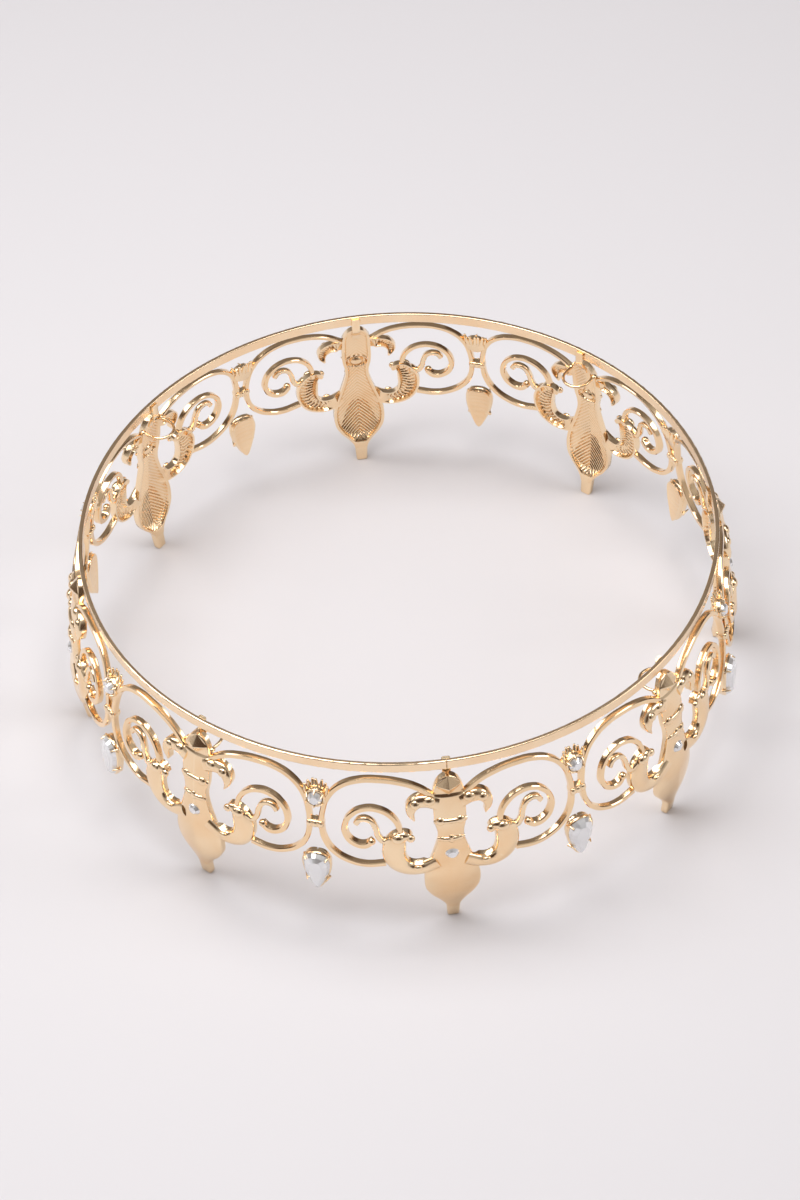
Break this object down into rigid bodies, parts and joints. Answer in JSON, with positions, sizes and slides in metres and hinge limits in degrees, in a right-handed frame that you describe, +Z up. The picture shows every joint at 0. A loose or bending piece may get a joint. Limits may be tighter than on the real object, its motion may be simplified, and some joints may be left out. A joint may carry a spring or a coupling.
{
  "type": "crown-shaped cake stand ring",
  "caption": "Openwork gold-plated ring of cast fleurs-de-lis and scrollwork under a flat band, set with clear crystals, standing on its fleur tips around a cake",
  "frame": {"origin": "on the floor at the centre of the ring, level with the fleur tips it stands on", "axes": "+Z up along the ring's axis, -Y towards the fleur behind which the band's ends meet"},
  "size_m": [0.1922, 0.1922, 0.06],
  "materials": {
    "plated_band": "satin champagne-gold plating on a flat strip",
    "plated_casting": "champagne-gold plating on castings, satin backs and bright fronts",
    "plated_scrollwork": "bright champagne-gold plating on cast strands",
    "loop_wire": "bright gold-plated round wire",
    "crystal": "clear faceted crystal with a foiled back"
  },
  "bodies": {
    "root": {"band": "plated_band", "fleur_1": "plated_casting", "frame_left_1": "plated_scrollwork", "scroll_left_1": "plated_scrollwork", "frame_right_1": "plated_scrollwork", "scroll_right_1": "plated_scrollwork", "pear_setting_1": "plated_casting", "fleur_2": "plated_casting", "frame_left_2": "plated_scrollwork", "scroll_left_2": "plated_scrollwork", "frame_right_2": "plated_scrollwork", "scroll_right_2": "plated_scrollwork", "pear_setting_2": "plated_casting", "fleur_3": "plated_casting", "frame_left_3": "plated_scrollwork", "scroll_left_3": "plated_scrollwork", "frame_right_3": "plated_scrollwork", "scroll_right_3": "plated_scrollwork", "pear_setting_3": "plated_casting", "fleur_4": "plated_casting", "frame_left_4": "plated_scrollwork", "scroll_left_4": "plated_scrollwork", "frame_right_4": "plated_scrollwork", "scroll_right_4": "plated_scrollwork", "pear_setting_4": "plated_casting", "fleur_5": "plated_casting", "frame_left_5": "plated_scrollwork", "scroll_left_5": "plated_scrollwork", "frame_right_5": "plated_scrollwork", "scroll_right_5": "plated_scrollwork", "pear_setting_5": "plated_casting", "fleur_6": "plated_casting", "frame_left_6": "plated_scrollwork", "scroll_left_6": "plated_scrollwork", "frame_right_6": "plated_scrollwork", "scroll_right_6": "plated_scrollwork", "pear_setting_6": "plated_casting", "fleur_7": "plated_casting", "frame_left_7": "plated_scrollwork", "scroll_left_7": "plated_scrollwork", "frame_right_7": "plated_scrollwork", "scroll_right_7": "plated_scrollwork", "pear_setting_7": "plated_casting", "fleur_8": "plated_casting", "frame_left_8": "plated_scrollwork", "scroll_left_8": "plated_scrollwork", "frame_right_8": "plated_scrollwork", "scroll_right_8": "plated_scrollwork", "pear_setting_8": "plated_casting", "claw_cups": "plated_casting", "tie_beads": "plated_casting", "junction_crystals": "crystal", "waist_crystals": "crystal", "pear_crystals": "crystal", "ribbon_loops": "loop_wire"}
  },
  "joints": []
}
